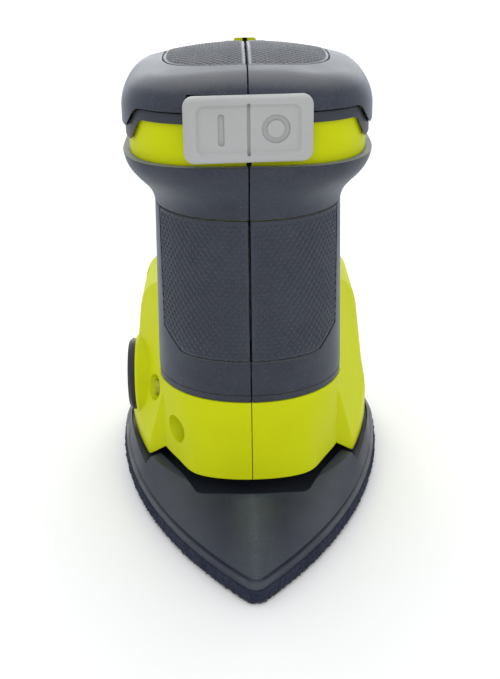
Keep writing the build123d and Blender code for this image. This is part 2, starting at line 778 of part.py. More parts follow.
with BuildPart() as motor_bushes:
    for z in (CAN_Z[0], CAN_Z[1]):
        add(rod_z(0, 0, BUSH_R, z, z + END_CAP_T))
    add(rod_z(0, 0, SHAFT_R + 0.05, 40, 120), mode=Mode.SUBTRACT)
write(motor_bushes.part, "motor_bushes")

with BuildPart() as motor_plate:
    add(oval_section(PLATE_Z[0], PLATE, NECK_POWER, 0))
    extrude(amount=PLATE_Z[1] - PLATE_Z[0])
    add(bar(LUG_X, (-4, 4), (34.7, PLATE_Z[0] + 0.5)))
    add(rod_x(LUG_YZ[0], LUG_YZ[1], SCREW_R, -40, -25), mode=Mode.SUBTRACT)
    add(rod_z(0, 0, 6, 40, 50), mode=Mode.SUBTRACT)
    for x, y in ((-9, 0), (9, 0)):
        add(rod_z(x, y, 1.45, 40, 50), mode=Mode.SUBTRACT)
        add(rod_z(x, y, 3.2, 40, 46.6), mode=Mode.SUBTRACT)
write(motor_plate.part, "motor_plate")

with BuildPart() as motor_screws:
    for x in (-9, 9):
        add(rod_z(x, 0, 2.6, 44.8, 46.6))
        add(rod_z(x, 0, 1.25, 46.6, 54))
        add(rod_z(x, 0, 1.1, 44, 45.6), mode=Mode.SUBTRACT)
write(motor_screws.part, "motor_screws")

# ---- Fan, eccentric and platen bearing ----
with BuildPart() as fan:
    add(rod_z(0, 0, FAN_R, FAN_Z[0], FAN_Z[0] + 1.4))
    add(rod_z(0, 0, 5, FAN_Z[0], FAN_Z[1]))
    with PolarLocations(13.2, 11):
        with Locations((0, 0, FAN_Z[0])):
            Box(17, 1.2, FAN_Z[1] - FAN_Z[0] - 0.4, rotation=(0, 0, 24),
                align=(Align.CENTER, Align.CENTER, Align.MIN))
    add(rod_z(0, 0, FAN_R, 30, 50), mode=Mode.INTERSECT)
    add(rod_z(0, 0, SHAFT_R, 30, 50), mode=Mode.SUBTRACT)
write(fan.part, "fan")

with BuildPart() as eccentric:
    add(rod_z(0, 0, 9, ECCENTRIC_Z[0], ECCENTRIC_Z[1]))
    with BuildSketch(Plane.XY.offset(ECCENTRIC_Z[0])) as weight:
        Circle(WEIGHT_R)
        with Locations((0, WEIGHT_R)):
            Rectangle(4 * WEIGHT_R, 2 * WEIGHT_R, mode=Mode.SUBTRACT)
    extrude(amount=6)
    add(rod_z(0, ORBIT, PIN_R, BEARING_Z[0] - 0.4, ECCENTRIC_Z[0] + 1))
    add(rod_z(0, ORBIT, 1.6, 10, 23), mode=Mode.SUBTRACT)
    add(rod_z(0, 0, SHAFT_R, 27.2, 50), mode=Mode.SUBTRACT)
write(eccentric.part, "eccentric")


def ball_groove(radius):
    """Ring-shaped track that the bearing balls run in."""
    with BuildPart() as p:
        with BuildSketch(Plane.XZ.offset(-ORBIT)):
            with Locations((BALL_PCD_R, sum(BEARING_Z) / 2)):
                Circle(radius)
        revolve(axis=Axis((0, ORBIT, 0), (0, 0, 1)))
    return p.part


with BuildPart() as bearing_inner:
    add(rod_z(0, ORBIT, BALL_PCD_R - 1.2, BEARING_Z[0], BEARING_Z[1]))
    add(rod_z(0, ORBIT, PIN_R, 10, 30), mode=Mode.SUBTRACT)
    add(ball_groove(BALL_R + 0.06), mode=Mode.SUBTRACT)
write(bearing_inner.part, "bearing_inner")

with BuildPart() as bearing_outer:
    add(rod_z(0, ORBIT, BEARING_R, BEARING_Z[0], BEARING_Z[1]))
    add(rod_z(0, ORBIT, BALL_PCD_R + 1.2, 10, 30), mode=Mode.SUBTRACT)
    add(ball_groove(BALL_R + 0.06), mode=Mode.SUBTRACT)
write(bearing_outer.part, "bearing_outer")

with BuildPart() as bearing_balls:
    with Locations((0, ORBIT, sum(BEARING_Z) / 2)):
        with PolarLocations(BALL_PCD_R, 8):
            Sphere(BALL_R)
write(bearing_balls.part, "bearing_balls")

with BuildPart() as bearing_screw:
    add(rod_z(0, ORBIT, 5.6, BEARING_Z[0] - 1.4, BEARING_Z[0] - 0.4))
    add(rod_z(0, ORBIT, 3.4, BEARING_Z[0] - 3.8, BEARING_Z[0] - 1.4))
    add(rod_z(0, ORBIT, 1.6, BEARING_Z[0] - 1.4, 23))
    with BuildSketch(Plane.XY.offset(BEARING_Z[0] - 4)):
        with Locations((0, ORBIT)):
            RegularPolygon(1.6, 6)
    extrude(amount=1.6, mode=Mode.SUBTRACT)
write(bearing_screw.part, "bearing_screw")


# ---- Sanding base ----
def pad_x(y):
    """Half width of the pad on the long side arc."""
    return PAD_HALF - PAD_SIDE_R + sqrt(PAD_SIDE_R**2 - (y - PAD_WIDEST_Y) ** 2)


def pad_solid(inset, low, high):
    nose_y = PAD_WIDEST_Y - sqrt(PAD_SIDE_R**2 - (PAD_SIDE_R - PAD_HALF) ** 2)
    with BuildPart() as p:
        with BuildSketch(Plane.XY.offset(low)) as s:
            with BuildLine():
                for side in (-1, 1):
                    ThreePointArc((0, nose_y), (side * pad_x(-20), -20), (side * PAD_HALF, PAD_WIDEST_Y))
                    Line((side * PAD_HALF, PAD_WIDEST_Y), (side * 46, 70))
                ThreePointArc((46, 70), (0, PAD_REAR_Y), (-46, 70))
            make_face()
            fillet(s.vertices().sort_by(Axis.Y)[0], radius=PAD_NOSE_R)
            fillet(s.vertices().filter_by(lambda v: abs(v.Y - 70) < 1), radius=18)
            fillet(s.vertices().filter_by(lambda v: abs(v.Y - PAD_WIDEST_Y) < 1), radius=60)
            offset(amount=-inset)
        extrude(amount=high - low)
    return p.part


def slope_outline(z, nose_half, nose_y, tip_y, mid, wide_x, rear_x, rear_y):
    """One level of the sloping top: nose arc, flank arcs, straight rear sides and rounded tail."""
    with BuildSketch(Plane.XY.offset(z)) as s:
        with BuildLine():
            ThreePointArc((-nose_half, nose_y), (0, tip_y), (nose_half, nose_y))
            for side in (-1, 1):
                ThreePointArc((side * nose_half, nose_y), (side * mid[0], mid[1]), (side * wide_x, 40))
                Line((side * wide_x, 40), (side * rear_x, rear_y - 16))
                ThreePointArc((side * rear_x, rear_y - 16), (side * (rear_x - 5.5), rear_y - 4.5),
                              (side * (rear_x - 17), rear_y))
            Line((17 - rear_x, rear_y), (rear_x - 17, rear_y))
        make_face()
    return s.sketch


def dish(low):
    """The hollow that the housing's skirt sits in, with its notched front corners."""
    with BuildPart() as p:
        with BuildSketch(Plane.XY.offset(low)) as s:
            with BuildLine():
                ThreePointArc((-19, -32.9), (0, -35.2), (19, -32.9))
                for side in (-1, 1):
                    Polyline((side * 19, -32.9), (side * 25.2, -19.3), (side * 33.2, -5.2), (side * 38.4, -9.8))
                    ThreePointArc((side * 38.4, -9.8), (side * 44.2, 12), (side * 47, 38))
                    Line((side * 47, 38), (side * 44, 68))
                Line((-44, 68), (44, 68))
            make_face()
            fillet(s.vertices().filter_by(lambda v: abs(v.Y + 32.9) < 0.5), radius=5)
            fillet(s.vertices().group_by(Axis.Y)[-1], radius=18)
        extrude(amount=20)
    return p.part


DUST_HOLES = [(side * x, y) for x, y in ((36, 13), (40, 30), (36, 56), (14, 60)) for side in (-1, 1)]


def dust_holes():
    with BuildPart() as p:
        with BuildSketch(Plane.XY.offset(-1)):
            with Locations(*DUST_HOLES):
                Circle(2.5)
        extrude(amount=20)
    return p.part


holes = dust_holes()
with BuildPart() as hook_layer:
    add(pad_solid(0.5, 0, HOOK_T))
    add(holes, mode=Mode.SUBTRACT)
write(hook_layer.part, "hook_layer")

with BuildPart() as foam_pad:
    add(pad_solid(0, HOOK_T, FOAM_TOP))
    add(holes, mode=Mode.SUBTRACT)
write(foam_pad.part, "foam_pad")


def platen_top():
    with BuildPart() as p:
        add(slope_outline(SLOPE_Z, 3.4, -74.8, -76.6, (pad_x(-24) - 1.6, -24), 48.4, 45.2, 72.2))
        add(slope_outline(CROWN_Z, 9, -34.9, -35.8, (35.5, -10), 45.4, 42.2, 69.4))
        loft(ruled=True)
        add(pad_solid(0.6, FOAM_TOP, FLANGE_TOP))
        add(pad_solid(1.7, FOAM_TOP, SLOPE_Z + 0.1))
    return p.part


with BuildPart() as platen:
    add(platen_top())
    add(dish(DISH_Z), mode=Mode.SUBTRACT)
    add(rod_z(0, ORBIT, HUB_R, FOAM_TOP + 1, HUB_TOP))
    for x, y in LEG_XY:
        for side in (-1, 1):
            add(rod_z(side * x, y + ORBIT, LEG_CUP_R + 1.8, FOAM_TOP + 1, 20))
    add(rod_z(0, ORBIT, BEARING_R - 1.8, DISH_Z, 30), mode=Mode.SUBTRACT)
    add(rod_z(0, ORBIT, BEARING_R, BEARING_Z[0], 30), mode=Mode.SUBTRACT)
    for x, y in LEG_XY:
        for side in (-1, 1):
            add(rod_z(side * x, y + ORBIT, LEG_CUP_R, 10.4, 30), mode=Mode.SUBTRACT)
    add(holes, mode=Mode.SUBTRACT)
write(platen.part, "platen")

with BuildPart() as flex_legs:
    for x, y in LEG_XY:
        for side in (-1, 1):
            with BuildSketch(Plane.XY.offset(LEG_Z[0])):
                with Locations((side * x, y)):
                    Circle(LEG_R)
            extrude(amount=LEG_Z[1] - LEG_Z[0])
write(flex_legs.part, "flex_legs")

# ---- Dust path ----
with BuildPart() as dust_shroud:
    add(rod_z(0, 0, 24.6, 35.4, 44.4))
    add(rod_z(0, 0, FAN_R + 1, 36.4, 50), mode=Mode.SUBTRACT)
    add(rod_z(0, 0, WEIGHT_R + 1.6, 30, 50), mode=Mode.SUBTRACT)
    add(bar((-40, -8), (11.4, 28), (36.4, 50)), mode=Mode.SUBTRACT)
write(dust_shroud.part, "dust_shroud")


def duct_chamber(radius, low, high, x_low, x_high):
    """The round chamber behind the dust collar, cut flat above and below."""
    with BuildPart() as p:
        add(rod_x(PORT_YZ[0], PORT_YZ[1], radius, x_low, x_high))
        add(slab(low, high), mode=Mode.INTERSECT)
    return p.part


with BuildPart() as dust_duct:
    add(bar((DUCT_X - 1.2, -18), (9.8, 30.2), (35.4, 44.2)))
    add(duct_chamber(PORT_FLANGE_R, 23.2, 44.2, PORT_BACK_X, DUCT_X))
    add(bar((-37, -10), (11, 29), (36.6, 43)), mode=Mode.SUBTRACT)
    add(duct_chamber(PORT_FLANGE_R - 1.2, 24.4, 43, PORT_BACK_X + 1.2, DUCT_X - 1.2), mode=Mode.SUBTRACT)
    add(rod_x(PORT_YZ[0], PORT_YZ[1], PORT_R + 0.4, -50, PORT_BACK_X + 1.3), mode=Mode.SUBTRACT)
    add(rod_z(0, 0, 24.8, 30, 50), mode=Mode.SUBTRACT)
write(dust_duct.part, "dust_duct")

with BuildPart() as dust_port:
    add(rod_x(PORT_YZ[0], PORT_YZ[1], PORT_FLANGE_R, PORT_FACE_X, PORT_BACK_X))
    chamfer(dust_port.faces().sort_by(Axis.X)[0].edges(), length=1.2)
    add(rod_x(PORT_YZ[0], PORT_YZ[1], PORT_R, -60, -30), mode=Mode.SUBTRACT)
write(dust_port.part, "dust_port")

# ---- Screws, battery dock and leads ----
with BuildPart() as housing_screws:
    for y, z, envelope in SCREWS:
        add(rod_x(y, z, 3.0, SCREW_SEAT_X - 2.4, SCREW_SEAT_X))
        add(rod_x(y, z, SCREW_R, SCREW_SEAT_X, SCREW_END_X))
        add(rod_x(y, z, 1.2, SCREW_SEAT_X - 3, SCREW_SEAT_X - 1.2), mode=Mode.SUBTRACT)
    y, z = LUG_YZ
    add(rod_x(y, z, 3.0, LUG_X[0] - 4.8, LUG_X[0] - 2.4))
    add(rod_x(y, z, SCREW_R, LUG_X[0] - 2.4, LUG_X[1]))
    add(rod_x(y, z, 1.2, LUG_X[0] - 6, LUG_X[0] - 3.6), mode=Mode.SUBTRACT)
write(housing_screws.part, "housing_screws")

with BuildPart() as battery_dock:
    add(bar((-25, 25), (47.5, 79), (123.4, HEAD_Z - 0.1)))
    add(bar((-6, 6), (58, 70), (HEAD_Z - 0.5, HEAD_Z + 8)))
    for s in (-1, 1):
        add(bar(sorted((s * 22.5, s * 25)), (50, 79), (115.6, 124)))
        add(bar(sorted((s * 18, s * 25)), (50, 79), (115.6, 118)))
    add(bar((-12, 12), (47.5, 53), (115.6, 124)))
    fillet(battery_dock.edges().filter_by(Axis.Z).group_by(Axis.Y)[-1], radius=1)
write(battery_dock.part, "battery_dock")

with BuildPart() as battery_blades:
    for x in (-8, 0, 8):
        add(bar((x - 0.4, x + 0.4), (53, 64), (117, 122)))
write(battery_blades.part, "battery_blades")


def lead(points, radii):
    """A round insulated lead along straight runs joined by arcs."""
    with BuildLine() as route:
        FilletPolyline(*points, radius=radii)
    with BuildPart() as p:
        with BuildSketch(Plane(route.line @ 0, z_dir=route.line % 0)):
            Circle(LEAD_R)
        sweep(path=route.line)
    return p.part


with BuildPart() as motor_leads:
    for s in (-1, 1):
        add(lead([(s * 3.5, -6.2, 139), (s * 4.5, 3, 138), (s * 9.5, 5, 128), (s * 11, 0, 121), (s * 11, 0, 115.2)],
                 [3.5, 4, 2.5]))
write(motor_leads.part, "motor_leads")

with BuildPart() as supply_leads:
    for s in (-1, 1):
        add(lead([(s * 9, -6.2, 139), (s * 10, 6, 138), (s * 12, 24, 134), (s * 10, 44, 134.2), (s * 3.5, 57.4, 134.2)],
                 [8, 8, 6]))
write(supply_leads.part, "supply_leads")
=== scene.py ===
import json
import math

import bmesh
import bpy
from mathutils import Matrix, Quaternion, Vector, noise
from mathutils.kdtree import KDTree


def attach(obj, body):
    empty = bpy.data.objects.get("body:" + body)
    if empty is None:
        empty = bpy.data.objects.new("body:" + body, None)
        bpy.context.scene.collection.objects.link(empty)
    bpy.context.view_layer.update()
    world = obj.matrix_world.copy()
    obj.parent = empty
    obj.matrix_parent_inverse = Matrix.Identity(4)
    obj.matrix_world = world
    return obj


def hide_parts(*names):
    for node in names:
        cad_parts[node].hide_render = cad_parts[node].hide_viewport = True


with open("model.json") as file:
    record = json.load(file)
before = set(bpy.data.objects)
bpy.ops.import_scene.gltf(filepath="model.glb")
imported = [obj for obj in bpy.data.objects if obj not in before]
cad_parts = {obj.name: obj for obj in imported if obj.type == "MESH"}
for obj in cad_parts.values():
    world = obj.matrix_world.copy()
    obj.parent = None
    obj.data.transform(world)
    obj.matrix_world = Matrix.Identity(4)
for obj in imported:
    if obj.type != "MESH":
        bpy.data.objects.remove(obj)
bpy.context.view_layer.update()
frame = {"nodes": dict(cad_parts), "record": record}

NODES = frame["nodes"]
MM = 0.001


# ---- Node helpers ----
class Shader:
    """A material's node tree with short calls for the nodes used here."""

    def __init__(self, name):
        self.material = bpy.data.materials.new(name)
        self.material.use_nodes = True
        self.tree = self.material.node_tree
        self.bsdf = self.tree.nodes["Principled BSDF"]
        self.place = self.add("ShaderNodeTexCoord").outputs["Object"]

    def add(self, kind, **settings):
        node = self.tree.nodes.new(kind)
        for key, value in settings.items():
            setattr(node, key, value)
        return node

    def link(self, source, target):
        self.tree.links.new(source, target)

    def constant(self, **values):
        for key, value in values.items():
            socket = self.bsdf.inputs[key.replace("_", " ")]
            socket.default_value = (*value, 1.0) if isinstance(value, tuple) and len(value) == 3 else value

    def stretched(self, scale):
        mapping = self.add("ShaderNodeMapping")
        mapping.inputs["Scale"].default_value = scale
        self.link(self.place, mapping.inputs["Vector"])
        return mapping.outputs["Vector"]

    def noise(self, size, detail=3.0, rough=0.5, vector=None, distortion=0.0):
        """Noise whose features are about size metres across."""
        node = self.add("ShaderNodeTexNoise")
        node.inputs["Scale"].default_value = 1.0 / size
        node.inputs["Detail"].default_value = detail
        node.inputs["Roughness"].default_value = rough
        node.inputs["Distortion"].default_value = distortion
        self.link(vector or self.place, node.inputs["Vector"])
        return node.outputs["Fac"]

    def cells(self, size, vector=None, feature="F1"):
        node = self.add("ShaderNodeTexVoronoi", feature=feature)
        node.inputs["Scale"].default_value = 1.0 / size
        self.link(vector or self.place, node.inputs["Vector"])
        return node.outputs["Distance"]

    def ramp(self, source, stops):
        node = self.add("ShaderNodeValToRGB")
        ramp = node.color_ramp
        while len(ramp.elements) < len(stops):
            ramp.elements.new(0.5)
        for element, (at, colour) in zip(ramp.elements, stops):
            element.position = at
            if not isinstance(colour, tuple):
                colour = (colour,) * 3
            element.color = (*colour, 1.0)
        self.link(source, node.inputs["Fac"])
        return node.outputs["Color"]

    def math(self, operation, first, second):
        node = self.add("ShaderNodeMath", operation=operation)
        for socket, value in zip(node.inputs, (first, second)):
            if isinstance(value, (int, float)):
                socket.default_value = value
            else:
                self.link(value, socket)
        return node.outputs[0]

    def mix(self, factor, first, second, blend="MIX"):
        node = self.add("ShaderNodeMix", data_type="RGBA", blend_type=blend)
        for socket, value in ((node.inputs[0], factor), (node.inputs[6], first), (node.inputs[7], second)):
            if isinstance(value, (int, float)):
                socket.default_value = value
            elif isinstance(value, tuple):
                socket.default_value = (*value, 1.0)
            else:
                self.link(value, socket)
        return node.outputs[2]

    def bump(self, height, depth, strength=1.0, under=None):
        node = self.add("ShaderNodeBump")
        node.inputs["Distance"].default_value = depth
        node.inputs["Strength"].default_value = strength
        self.link(height, node.inputs["Height"])
        if under is None:
            soft = self.add("ShaderNodeBevel", samples=6)
            soft.inputs["Radius"].default_value = 0.0004
            under = soft.outputs["Normal"]
        self.link(under, node.inputs["Normal"])
        return node.outputs["Normal"]

    def axis(self, letter):
        node = self.add("ShaderNodeSeparateXYZ")
        self.link(self.place, node.inputs[0])
        return node.outputs[letter]

    def upward(self, low, high):
        """0 on walls and 1 on faces that look up."""
        split = self.add("ShaderNodeSeparateXYZ")
        self.link(self.add("ShaderNodeTexCoord").outputs["Normal"], split.inputs[0])
        return self.ramp(split.outputs["Z"], [(low, 0.0), (high, 1.0)])

    def finish(self, colour=None, rough=None, normal=None):
        if colour is not None:
            self.link(colour, self.bsdf.inputs["Base Color"])
        if rough is not None:
            self.link(rough, self.bsdf.inputs["Roughness"])
        if normal is not None:
            self.link(normal, self.bsdf.inputs["Normal"])
        return self.material


def scaled(colour, factor):
    return tuple(c * factor for c in colour)


# ---- Materials ----
# Painted shade in the joint groove between the shells: half its width, and the height it starts at.
SEAM_SHADE_HALF = 0.8 * MM
SEAM_SHADE_FOOT = 46.5 * MM


def moulded_plastic(name, colour, rough, mottle=0.05, dust=0.0, seam_shade=False, gloss=0.42):
    """Satin moulded plastic: fine spark-eroded grain, faint mottling and handling marks.

    With the seam option, painted shade darkens the joint groove between the two shells down the middle."""
    s = Shader(name)
    patches = s.noise(0.022, 3.0)
    tint = s.ramp(patches, [(0.35, scaled(colour, 1 - mottle)), (0.65, scaled(colour, 1 + mottle))])
    specks = s.ramp(s.noise(0.0007, 2.0, 0.7), [(0.62, 0.0), (0.78, 1.0)])
    if dust:
        spread = s.ramp(s.noise(0.009, 4.0, 0.6), [(0.42, 0.0), (0.72, 1.0)])
        amount = s.math("MULTIPLY", s.math("MULTIPLY", specks, spread), dust)
        tint = s.mix(amount, tint, (0.55, 0.53, 0.48))
    if seam_shade:
        # Painted shade: the lime turns near-black in a thin band at x = 0 above the foot, where the groove
        # between the grip skins lies in shadow.
        seam_shade_band = s.math("LESS_THAN", s.math("ABSOLUTE", s.axis("X"), 0.0), SEAM_SHADE_HALF)
        seam_shade_above = s.math("GREATER_THAN", s.axis("Z"), SEAM_SHADE_FOOT)
        tint = s.mix(s.math("MULTIPLY", seam_shade_band, seam_shade_above), tint, (0.004, 0.005, 0.006))
    rubbed = s.ramp(s.noise(0.012, 5.0, 0.6), [(0.3, rough - 0.05), (0.7, rough + 0.06)])
    normal = s.bump(s.noise(0.00035, 2.0, 0.6), 0.00002, 0.6)
    s.constant(Specular_IOR_Level=gloss)
    return s.finish(tint, rubbed, normal)


def soft_grip(name, colour, rough=0.62, dusty=(0.25, 0.26, 0.27)):
    """Soft-touch elastomer: matte grain, pale bloom and fine lint, and a painted highlight on what looks up.
    """
    s = Shader(name)
    patches = s.noise(0.016, 4.0, 0.6)
    tint = s.ramp(patches, [(0.35, scaled(colour, 0.88)), (0.65, scaled(colour, 1.12))])
    bloom = s.ramp(s.noise(0.0006, 3.0, 0.6), [(0.5, 0.0), (0.9, 0.22)])
    tint = s.mix(bloom, tint, scaled(dusty, 0.8))
    lint = s.ramp(s.cells(0.007, s.stretched((1.0, 1.0, 0.55))), [(0.02, 0.22), (0.04, 0.0)])
    tint = s.mix(lint, tint, dusty)
    # Painted highlight: faces that look up are lifted towards pale grey.
    tint = s.mix(s.math("MULTIPLY", s.upward(0.6, 0.98), 0.38), tint, (0.34, 0.34, 0.33))
    worn = s.ramp(s.noise(0.01, 4.0), [(0.35, rough - 0.05), (0.65, rough + 0.07)])
    fine = s.bump(s.noise(0.00028, 2.0, 0.6), 0.00004, 0.8)
    s.constant(Specular_IOR_Level=0.40, Sheen_Weight=0.30, Sheen_Roughness=0.42, Sheen_Tint=(0.80, 0.89, 1.0))
    return s.finish(tint, worn, fine)


def base_plastic():
    """Dark base: a painted highlight and dust specks along the ridge down the nose, between two bands of
    painted shade.
    """
    s = Shader("base_plastic")
    patches = s.noise(0.018, 4.0, 0.6)
    tint = s.ramp(patches, [(0.35, (0.026, 0.032, 0.048)), (0.65, (0.034, 0.040, 0.057))])
    x = s.math("ABSOLUTE", s.axis("X"), 0.0)
    front = s.ramp(s.math("MULTIPLY", s.axis("Y"), -12.0), [(0.36, 0.0), (0.46, 1.0), (0.88, 0.6)])
    # Painted shade: two dark navy bands on the facets either side of the ridge down the nose.
    shade_band_stops = [(0.0, 0.0), (0.16, 0.35), (0.42, 1.0), (0.75, 0.45), (1.0, 0.0)]
    shade_bands = s.ramp(s.math("MULTIPLY", x, 40.0), shade_band_stops)
    tint = s.mix(s.math("MULTIPLY", shade_bands, front), tint, (0.011, 0.015, 0.036))
    ridge = s.ramp(s.math("MULTIPLY", x, 90.0), [(0.0, 1.0), (0.2, 0.5), (0.7, 0.0)])
    specks = s.ramp(s.noise(0.0005, 3.0, 0.7), [(0.45, 0.0), (0.75, 1.0)])
    drift = s.ramp(s.noise(0.005, 4.0, 0.65), [(0.35, 0.25), (0.7, 1.0)])
    # Painted highlight: the ridge down the nose is lifted smoothly towards grey; the dust specks follow
    # below.
    tint = s.mix(s.math("MULTIPLY", s.math("MULTIPLY", ridge, front), 0.35), tint, (0.10, 0.12, 0.15))
    streak = s.math("MULTIPLY", s.math("MULTIPLY", ridge, front), s.math("MULTIPLY", specks, drift))
    thin = s.math("MULTIPLY", s.math("MULTIPLY", specks, drift), 0.10)
    amount = s.math("MINIMUM", s.math("ADD", s.math("MULTIPLY", streak, 0.4), thin), 0.7)
    tint = s.mix(amount, tint, (0.24, 0.27, 0.30))
    rough = s.ramp(s.noise(0.01, 4.0), [(0.35, 0.44), (0.65, 0.56)])
    fine = s.bump(s.noise(0.0003, 2.0, 0.6), 0.00003, 0.7)
    s.constant(Specular_IOR_Level=0.42)
    return s.finish(tint, rough, fine)


def foam():
    """Closed-cell foam, dark navy, with open cells cut at the edge."""
    s = Shader("foam")
    cell = s.cells(0.0009)
    tint = s.ramp(cell, [(0.1, (0.008, 0.010, 0.020)), (0.6, (0.030, 0.036, 0.066))])
    patches = s.noise(0.008, 4.0)
    tint = s.mix(0.35, tint, s.ramp(patches, [(0.3, (0.012, 0.015, 0.028)), (0.7, (0.05, 0.056, 0.08))]))
    crumbs = s.ramp(s.noise(0.0012, 3.0, 0.7), [(0.66, 0.0), (0.8, 0.6)])
    tint = s.mix(crumbs, tint, (0.13, 0.14, 0.17))
    pits = s.bump(cell, 0.0004, 0.8)
    s.constant(Roughness=0.92, Specular_IOR_Level=0.2)
    return s.finish(tint, None, pits)


def hook_pile():
    """Short black hooks on a woven tape."""
    s = Shader("hook_pile")
    rows = s.cells(0.0006, s.stretched((1.0, 1.3, 0.3)))
    tint = s.ramp(rows, [(0.15, (0.045, 0.045, 0.05)), (0.6, (0.006, 0.006, 0.008))])
    lint = s.ramp(s.noise(0.002, 4.0, 0.7), [(0.6, 0.0), (0.8, 0.35)])
    tint = s.mix(lint, tint, (0.25, 0.24, 0.22))
    s.constant(Roughness=0.9, Sheen_Weight=0.25, Sheen_Roughness=0.6)
    return s.finish(tint, None, s.bump(rows, 0.0003, 0.9))


def metal(name, colour, rough, brushed=(1.0, 1.0, 1.0), grime=0.3):
    s = Shader(name)
    lines = s.noise(0.0004, 3.0, 0.6, s.stretched(brushed))
    patches = s.noise(0.007, 4.0, 0.6)
    tint = s.ramp(patches, [(0.3, scaled(colour, 0.82)), (0.7, colour)])
    dirt = s.ramp(s.noise(0.004, 5.0, 0.7), [(0.55, 0.0), (0.8, grime)])
    tint = s.mix(dirt, tint, (0.05, 0.045, 0.04))
    sheen = s.ramp(lines, [(0.3, max(rough - 0.08, 0.05)), (0.7, rough + 0.1)])
    s.constant(Metallic=1.0)
    return s.finish(tint, sheen, s.bump(lines, 0.00002, 0.5))


def rubber(name, colour, rough=0.7):
    s = Shader(name)
    bloom = s.ramp(s.noise(0.004, 4.0, 0.6), [(0.35, colour), (0.75, scaled(colour, 2.2))])
    s.constant(Roughness=rough, Specular_IOR_Level=0.3)
    return s.finish(bloom, None, s.bump(s.noise(0.0003, 2.0), 0.00004, 0.6))


def winding():
    """Laminated core with enamelled copper at its ends."""
    s = Shader("winding")
    stack = s.add("ShaderNodeTexWave", wave_type="BANDS", bands_direction="Z")
    stack.inputs["Scale"].default_value = 700.0
    s.link(s.place, stack.inputs["Vector"])
    core = s.ramp(stack.outputs["Fac"], [(0.2, (0.10, 0.10, 0.11)), (0.8, (0.32, 0.32, 0.33))])
    turns = s.cells(0.0006, s.stretched((1.0, 1.0, 0.4)))
    wire = s.ramp(turns, [(0.1, (0.62, 0.24, 0.09)), (0.6, (0.20, 0.06, 0.02))])
    stops = [(0.535, 1.0), (0.537, 0.0), (0.711, 0.0), (0.713, 1.0)]
    ends = s.ramp(s.math("MULTIPLY", s.axis("Z"), 8.0), stops)
    s.constant(Metallic=0.85, Roughness=0.42)
    return s.finish(s.mix(ends, core, wire), None, s.bump(stack.outputs["Fac"], 0.00005, 0.5))


LIME = (0.60, 0.655, 0.0)
MATERIALS = {
    # lime_shell carries painted shade along the joint groove down the middle.
    "lime_shell": moulded_plastic("lime_shell", LIME, 0.55, 0.02, 0.04, seam_shade=True, gloss=0.14),
    "grip": soft_grip("soft_grip", (0.025, 0.030, 0.047)),
    "texture": soft_grip("textured_grip", (0.031, 0.037, 0.055), 0.55),
    "trim": moulded_plastic("trim", (0.028, 0.034, 0.046), 0.5, dust=0.12),
    "rocker": moulded_plastic("rocker", (0.42, 0.425, 0.42), 0.42, mottle=0.02, dust=0.06),
    "base": base_plastic(),
    "foam": foam(),
    "hook": hook_pile(),
    "black_plastic": moulded_plastic("black_plastic", (0.014, 0.018, 0.018), 0.5, dust=0.15),
    "yellow_zinc": metal("yellow_zinc", (0.50, 0.50, 0.07), 0.5, grime=0.15),
    "steel": metal("steel", (0.58, 0.58, 0.59), 0.3, (1.0, 1.0, 0.12)),
    "zinc": metal("zinc", (0.50, 0.51, 0.53), 0.38),
    "bronze": metal("bronze", (0.52, 0.30, 0.13), 0.5),
    "copper": metal("copper", (0.72, 0.38, 0.18), 0.32),
    "magnet": metal("magnet", (0.06, 0.06, 0.065), 0.6),
    "carbon": metal("carbon", (0.03, 0.03, 0.032), 0.55),
    "leg_rubber": rubber("leg_rubber", (0.012, 0.012, 0.012)),
    "lead": rubber("lead", (0.30, 0.010, 0.008), 0.45),
    "winding": winding(),
}

slots = {part["node"]: part["material_slot"] for part in frame["record"]["subparts"]}
slots["armature"] = "winding"
slots["housing_screws"] = "yellow_zinc"

for name, obj in NODES.items():
    obj.data.materials.clear()
    obj.data.materials.append(MATERIALS[slots[name]])


# ---- Pieces rebuilt from CAD solids ----
def remeshed(node, name, voxel):
    """A new object with the CAD node's shape as an even mesh."""
    obj = bpy.data.objects.new(name, NODES[node].data.copy())
    bpy.context.scene.collection.objects.link(obj)
    modifier = obj.modifiers.new("even", "REMESH")
    modifier.mode = "VOXEL"
    modifier.voxel_size = voxel
    modifier.use_smooth_shade = True
    evaluated = obj.evaluated_get(bpy.context.evaluated_depsgraph_get())
    mesh = bpy.data.meshes.new_from_object(evaluated)
    obj.modifiers.clear()
    obj.data = mesh
    mesh.name = name
    mesh.materials.clear()
    mesh.materials.append(MATERIALS[slots[node]])
    return obj


def ease(value, low, high):
    t = min(max((value - low) / (high - low), 0.0), 1.0)
    return t * t * (3 - 2 * t)


CELL_ACROSS = 2.2 * MM
CELL_UP = 2.9 * MM
DIAMOND_RISE = 0.55 * MM
BORDER = (0.7 * MM, 1.1 * MM)
NECK_CENTRE_Y = 3.5 * MM
NECK_RADIUS = 31.0 * MM


def diamonds(u, v):
    """0 in the grooves of a lozenge grid and 1 on the lozenges."""
    near = 1.0
    for turn in (u / CELL_ACROSS + v / CELL_UP, u / CELL_ACROSS - v / CELL_UP):
        near = min(near, 0.5 - abs(turn - math.floor(turn) - 0.5))
    return ease(near, 0.03, 0.36)


